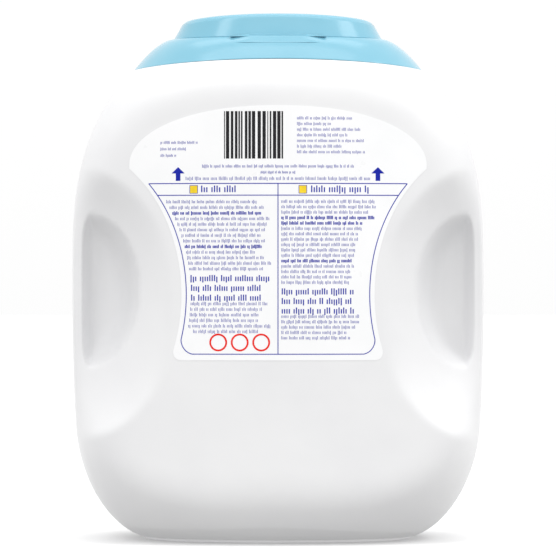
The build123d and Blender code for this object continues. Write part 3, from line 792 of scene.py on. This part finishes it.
def skirt_front(x, z):
    """Distance of the skirt's outer face from the centre plane at (x, z)."""
    reach = skirt_reach(z)
    half_x = DECK_HALF_WIDTH + (SKIRT_HALF_WIDTH - DECK_HALF_WIDTH) * reach
    half_y = DECK_HALF_DEPTH + (SKIRT_HALF_DEPTH - DECK_HALF_DEPTH) * reach
    return half_y * (1 - (np.abs(x) / half_x) ** CORNER_POWER) ** (1 / CORNER_POWER)


def end_fade(x):
    """1 along the middle of the hinge, falling to 0 at both ends by a smooth cubic step."""
    share = np.clip((HINGE_WIDTH / 2 - np.abs(x)) / HINGE_FADE, 0.0, 1.0)
    return share**2 * (3 - 2 * share)


def build_hinge_ridge():
    """A section carried along the hinge line: it rises out of the skirt's face in a smooth shoulder, turns
    over to the hinge gap, and fades into the skirt at both ends."""
    x = np.linspace(1, -1, 81)[None, :] * HINGE_WIDTH / 2
    top_z = HINGE_Z - RUNNING_GAP
    section_z = top_z - np.array([3.7, 2.9, 2.1, 1.4, 0.9, 0.5, 0.2, 0.04, 0.0, 0.0, 0.1])
    section_y = np.array([49.6, 49.0, 48.2, 47.5, 47.0, 46.6, 46.3, 46.1, 45.9, 45.6, 45.5])
    fade = end_fade(x)
    above_deck = np.maximum(section_z[:, None] - DECK_Z + 0.05, 0.0)
    z = section_z[:, None] - above_deck * (1 - fade)
    skirt = skirt_front(x, np.minimum(z, DECK_Z - 0.2)) - 0.15
    y = skirt + np.maximum(section_y[:, None] - skirt, 0.0) * fade
    spread = np.broadcast_to(x, y.shape)
    outer = np.stack([spread, y, z], axis=-1)
    inner = np.stack([spread, np.minimum(y - 0.05, 45.45), np.minimum(z, 262.9)], axis=-1)
    return write_plate("closure_hinge_lip", outer, inner)


hinge_bar = build_hinge_ridge()
finish_blue(hinge_bar, "tub")

# ---------------------------------------------------------------------------------------------------------
# Flip lid. A shallow drafted drum in the same blue, with a rounded rim, a top that falls to both sides, a
# ring underneath that seals in the mouth, a lip for the hinge and a small lip to lift it by.
# ---------------------------------------------------------------------------------------------------------
LID_HALF_WIDTH, LID_HALF_DEPTH, LID_DRAFT = 55.4, 43.0, 0.42
LID_BOTTOM_Z, LID_TOP_Z, LID_CROWN, LID_WALL = 262.88, 275.5, 2.9, 1.7
LID_RIM = 2.2
LID_CROWN_SPAN = LID_HALF_WIDTH - 5.2
SEAL_GAP, SEAL_RING_WALL, SEAL_RING_BOTTOM_Z = 1.2, 1.2, 267.3
LIFT_LIP_WIDTH, LIFT_LIP_REACH, LIFT_LIP_THICKNESS = 18.0, 3.6, 1.5
HINGE_LIP, LID_LIP_INSET = 1.0, 10.5


def lid_ring(out, z, top_share=0.0, sink=0.0):
    """A ring of the lid, out from the drum's foot. Its height goes from level z to the crowned top, sunk
    by sink, as top_share goes from 0 to 1."""
    half_x, half_y = LID_HALF_WIDTH + out, LID_HALF_DEPTH + out
    flat = oval_ring(half_x, half_y, 0.0, LID_POWER)
    crown = LID_TOP_Z - sink - arch_drop(flat[:, 0], LID_CROWN, LID_CROWN_SPAN)
    flat[:, 2] = z + (crown - z) * top_share
    return flat


def build_lid():
    """Rings from the middle of the ceiling, out past the seal ring, down the wall inside, up the wall
    outside, over the rim's quarter circle and in over the crowned top."""
    seal_out = MOUTH_HALF_WIDTH - SEAL_GAP - LID_HALF_WIDTH
    rings = []
    for share in np.linspace(0.02, 1.0, 10):
        ring = lid_ring(seal_out - SEAL_RING_WALL, 0.0, 1.0, LID_WALL)
        ring[:, :2] *= share
        ring[:, 2] = LID_TOP_Z - LID_WALL - arch_drop(ring[:, 0], LID_CROWN, LID_CROWN_SPAN)
        rings.append(ring)
    low = SEAL_RING_BOTTOM_Z
    for inward, z in ((1.2, low + 0.4), (0.9, low), (0.3, low), (0.0, low + 0.4)):
        rings.append(
            oval_ring(LID_HALF_WIDTH + seal_out - inward, LID_HALF_DEPTH + seal_out - inward, z, LID_POWER)
        )
    rings.append(lid_ring(seal_out, 0.0, 1.0, LID_WALL))
    height = LID_TOP_Z - LID_BOTTOM_Z
    inner_top = -LID_WALL - LID_DRAFT * (height - LID_WALL - LID_CROWN)
    rings.append(lid_ring(inner_top - 1.5, 0.0, 1.0, LID_WALL))
    rings.append(lid_ring(inner_top - 0.3, 0.0, 1.0, LID_WALL + 0.5))
    wall_profile = [(-LID_WALL - LID_DRAFT * 3.0, 3.0), (-LID_WALL, 0.3), (-LID_WALL + 0.3, 0.0)]
    wall_profile += [(-0.4, 0.0), (-0.06, 0.12)]
    rings += [lid_ring(out, LID_BOTTOM_Z + up) for out, up in wall_profile]

    def wall_ring(share):
        """A ring on the drafted wall, share of the way from foot to crowned top."""
        return lid_ring(-LID_DRAFT * height * share, LID_BOTTOM_Z, share)

    rim_share = 1 - LID_RIM / height
    rings += [wall_ring(s) for s in np.linspace(0.03, rim_share, 12)]
    foot_out = -LID_DRAFT * height * rim_share
    for angle in np.linspace(0, np.pi / 2, 9)[1:]:
        out = foot_out - LID_DRAFT * LID_RIM * math.sin(angle) - LID_RIM * (1 - math.cos(angle))
        rings.append(lid_ring(out, 0.0, 1.0, LID_RIM * (1 - math.sin(angle))))
    last = rings[-1]
    for share in np.linspace(0.96, 0.02, 22):
        ring = last.copy()
        ring[:, :2] *= share
        ring[:, 2] = LID_TOP_Z - arch_drop(ring[:, 0], LID_CROWN, LID_CROWN_SPAN)
        rings.append(ring)
    return write_surface("lid", rings)


lid = build_lid()
finish_blue(lid, "lid", "flip_lid")
lid_wall_y = LID_HALF_DEPTH - LID_WALL / 2
lid_hinge_bar = rounded_block(
    "lid_hinge_lip",
    (LID_LIP_INSET - HINGE_WIDTH / 2, lid_wall_y, HINGE_Z - HINGE_LIP / 2),
    (HINGE_WIDTH / 2 - LID_LIP_INSET, HINGE_Y - RUNNING_GAP, HINGE_Z + HINGE_LIP / 2),
)
finish_blue(lid_hinge_bar, "lid")
lift_lip = rounded_block(
    "lid_lift_lip",
    (-LIFT_LIP_WIDTH / 2, -LID_HALF_DEPTH - LIFT_LIP_REACH, DECK_Z + 0.6),
    (LIFT_LIP_WIDTH / 2, -lid_wall_y, DECK_Z + 0.6 + LIFT_LIP_THICKNESS),
    power=5.0,
)
finish_blue(lift_lip, "lid")

# ---------------------------------------------------------------------------------------------------------
# Press tabs. Two thumb pads moulded with the lid, each on a thin springy arm over the deck's front edge.
# They close the skirt's notches and give when squeezed.
# ---------------------------------------------------------------------------------------------------------
TAB_THICKNESS, TAB_AXIS_Z = 1.6, 263.5
TAB_BEND, TAB_EDGE = 1.2, 0.6
TAB_ARM_THICKNESS = 0.85
RIB_HEIGHT, RIB_PITCH, RIB_Z = 0.45, 1.7, 257.4
TAB_BACK_Y = RETAINER_HALF_DEPTH + 0.9
ARM_ROOT_Y = 42.5


def edge_round(inward):
    """How far a rounded edge lies back at a distance inward from it: a quarter circle's fall."""
    return TAB_EDGE - np.sqrt(np.maximum(TAB_EDGE**2 - (TAB_EDGE - inward) ** 2, 0))


def build_tab(name, side):
    """A section carried across the tab: the arm's flat top, a rounded bend, and the pad, which follows the
    skirt's face. Three raised ribs across the pad give grip."""
    across = np.linspace(-1, 1, 41)
    x = side * TAB_CENTRE_X + across[None, :] * TAB_WIDTH / 2
    bend = np.linspace(0, np.pi / 2, 7)[1:]
    front_y = TAB_BACK_Y + TAB_THICKNESS
    top_z = TAB_AXIS_Z + 0.6
    drop_z = [262.4, 261.9, 261.4, 260.9]
    bend_y = front_y - TAB_BEND + TAB_BEND * np.sin(bend)
    bend_z = top_z - TAB_BEND + TAB_BEND * np.cos(bend)
    path_y = np.concatenate([[ARM_ROOT_Y, 44.4, 45.4, 46.3], bend_y, [front_y] * 4])
    path_z = np.concatenate([[top_z] * 4, bend_z, drop_z])
    inner_y = np.concatenate([[ARM_ROOT_Y, 44.4, 45.4, 45.8], np.full(10, TAB_BACK_Y)])
    inner_z = np.concatenate([np.full(10, top_z - TAB_ARM_THICKNESS), drop_z])
    pad_z = np.linspace(260.4, TAB_BOTTOM_Z, 42)[:, None]
    edge = np.minimum((1 - np.abs(across)) * TAB_WIDTH / 2, TAB_EDGE)[None, :]
    end = np.minimum(pad_z - TAB_BOTTOM_Z, TAB_EDGE)
    soft = edge_round(edge) + edge_round(end)
    row = (pad_z - RIB_Z) / RIB_PITCH
    rib = RIB_HEIGHT * np.exp(-(((row - np.round(row).clip(-1, 1)) / 0.2) ** 2))
    rib = rib * np.clip((1 - np.abs(across)) * 4, 0, 1)[None, :]
    pad_y = np.maximum(skirt_front(x, pad_z) - 0.45 + rib - soft * 0.8, TAB_BACK_Y + 0.5)
    pad_inner_y = np.maximum(skirt_front(x, pad_z) - TAB_THICKNESS - 0.2, TAB_BACK_Y)
    pad_y = np.maximum(pad_y, pad_inner_y + 0.3)
    wide = np.ones_like(x)
    outer_y = np.vstack([path_y[:, None] * wide, pad_y])
    outer_z = np.vstack([path_z[:, None] * wide, pad_z * wide])
    under_y = np.vstack([inner_y[:, None] * wide, pad_inner_y])
    under_z = np.vstack([inner_z[:, None] * wide, pad_z * wide])
    spread = np.broadcast_to(x, outer_y.shape)
    outer = np.stack([spread, -outer_y, outer_z], axis=-1)[:, ::-1]
    inner = np.stack([spread, -under_y, under_z], axis=-1)[:, ::-1]
    return write_plate(name, outer, inner)


for tab_name, side in (("left", -1), ("right", 1)):
    tab = build_tab(f"press_tab_{tab_name}", side)
    finish_blue(tab, f"{tab_name}_tab", f"latch_tab_{tab_name}")

# ---------------------------------------------------------------------------------------------------------
# Film hinge. The thin web of the same moulding that joins the lid's lip to the closure's.
# ---------------------------------------------------------------------------------------------------------
FILM_THICKNESS = 0.28


def build_film():
    """A section carried along the hinge line: a strip that falls from the lid's wall to the closure's lip
    by half a cosine wave, thinnest at its middle and lowered at both ends."""
    along = np.linspace(-1, 1, 81)[None, :]
    share = np.linspace(0, 1, 17)[:, None]
    x = along * (HINGE_WIDTH / 2 - 0.6) * np.ones_like(share)
    y = (HINGE_Y - 2.6 + 3.5 * share) * np.ones_like(along)
    drop = (1 - np.cos(np.pi * share)) / 2
    z = HINGE_Z - 0.35 - 0.25 * drop + 1.1 * (1 - drop) * end_fade(x)
    half = FILM_THICKNESS / 2 * (0.55 + 0.45 * np.abs(2 * share - 1))
    outer = np.stack([x, y, z + half], axis=-1)
    inner = np.stack([x, y, z - half], axis=-1)
    return write_plate("hinge_film", outer, inner)


hinge_film = build_film()
hinge_film.data.materials.append(blue_plastic)
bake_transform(hinge_film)

# ---------------------------------------------------------------------------------------------------------
# Studio. A white floor under a bright, even tent: brighter overhead, dimmer near the ground, with one strip
# light at each side for the closure's highlights. The long lens looks level at the middle of the back.
# ---------------------------------------------------------------------------------------------------------
FLOOR_RADIUS = 12.0
STUDIO_WHITE = (0.95, 0.95, 0.95)


def build_floor():
    """A round slab: rings of points out along its underside and in over its top."""
    angle = np.linspace(0, 2 * np.pi, 96, endpoint=False)
    radius = np.array([2.0, FLOOR_RADIUS, FLOOR_RADIUS, 2.0, 0.4])[:, None] / MM
    z = np.array([-50.05, -50.05, -0.05, -0.05, -0.05])[:, None] * np.ones_like(angle)
    rings = np.stack([radius * np.cos(angle), radius * np.sin(angle), z], axis=-1)
    slab = write_surface("floor", rings)
    slab.data.polygons.foreach_set("use_smooth", np.zeros(len(slab.data.polygons), bool))
    return slab


def new_light(name, place, aim, size, power):
    """A white rectangular area light at a place, turned to face another."""
    lamp = bpy.data.lights.new(name, "AREA")
    lamp.shape = "RECTANGLE"
    lamp.size, lamp.size_y = size
    lamp.energy = power
    light = bpy.data.objects.new(name, lamp)
    bpy.context.scene.collection.objects.link(light)
    place, aim = np.array(place), np.array(aim)
    forward = (aim - place) / np.linalg.norm(aim - place)
    light.location = place
    yaw = math.atan2(forward[1], forward[0]) - math.pi / 2
    pitch = math.asin(forward[2]) + math.pi / 2
    light.rotation_euler = (pitch, 0.0, yaw)


def tent_world():
    """The tent's brightness by height: the world's direction drives a ramp from the ground to overhead."""
    world = bpy.data.worlds.new("tent")
    world.use_nodes = True
    tree = world.node_tree
    background = tree.nodes["Background"]
    coords = tree.nodes.new("ShaderNodeTexCoord")
    split = tree.nodes.new("ShaderNodeSeparateXYZ")
    ramp = tree.nodes.new("ShaderNodeValToRGB")
    lift = tree.nodes.new("ShaderNodeMapRange")
    lift.inputs["From Min"].default_value = -1.0
    tree.links.new(coords.outputs["Generated"], split.inputs["Vector"])
    tree.links.new(split.outputs["Z"], lift.inputs["Value"])
    tree.links.new(lift.outputs["Result"], ramp.inputs["Fac"])
    tree.links.new(ramp.outputs["Color"], background.inputs["Color"])
    levels = ((0.0, 0.25), (0.125, 0.40), (0.25, 0.72), (0.49, 0.84), (0.68, 0.96))
    while len(ramp.color_ramp.elements) < len(levels):
        ramp.color_ramp.elements.new(0.5)
    for element, (place, level) in zip(ramp.color_ramp.elements, levels):
        element.position = place
        element.color = (level, level, level, 1)
    background.inputs["Strength"].default_value = 1.17
    bpy.context.scene.world = world


floor = build_floor()
floor_material, floor_tree, floor_shader = new_material("white_floor", STUDIO_WHITE, 0.9)
floor_coords = floor_tree.nodes.new("ShaderNodeTexCoord")
vary(floor_tree, floor_coords, floor_shader, "Roughness", 3, 0.85, 0.95)
floor_shader.inputs["Specular IOR Level"].default_value = 0.0
floor.data.materials.append(floor_material)
floor.visible_diffuse = False
tent_world()
for name, y in (("overhead_back", 0.5), ("overhead_front", -0.5)):
    new_light(name, (0.0, y, 2.1), (0.0, 0.0, 0.15), (1.6, 0.6), 4.5)
new_light("strip_left", (0.86, 1.06, 1.73), (0.0, 0.0, 0.27), (0.40, 1.0), 4.2)
new_light("strip_right", (-1.39, 0.53, 1.61), (0.0, 0.0, 0.27), (0.80, 1.0), 8.0)

CAMERA_DISTANCE = 2.0
CAMERA_HEIGHT = 0.1376
SENSOR_WIDTH = 36.0
VIEW_WIDTH = 0.295
camera_data = bpy.data.cameras.new("camera")
camera_data.sensor_width = SENSOR_WIDTH
camera_data.lens = SENSOR_WIDTH * CAMERA_DISTANCE / VIEW_WIDTH
camera_data.clip_start, camera_data.clip_end = 0.05, 60.0
camera = bpy.data.objects.new("camera", camera_data)
camera.location = (0.0, CAMERA_DISTANCE, CAMERA_HEIGHT)
camera.rotation_euler = (math.pi / 2, 0.0, math.pi)
bpy.context.scene.collection.objects.link(camera)
bpy.context.scene.camera = camera
bpy.context.scene.view_settings.view_transform = "Standard"
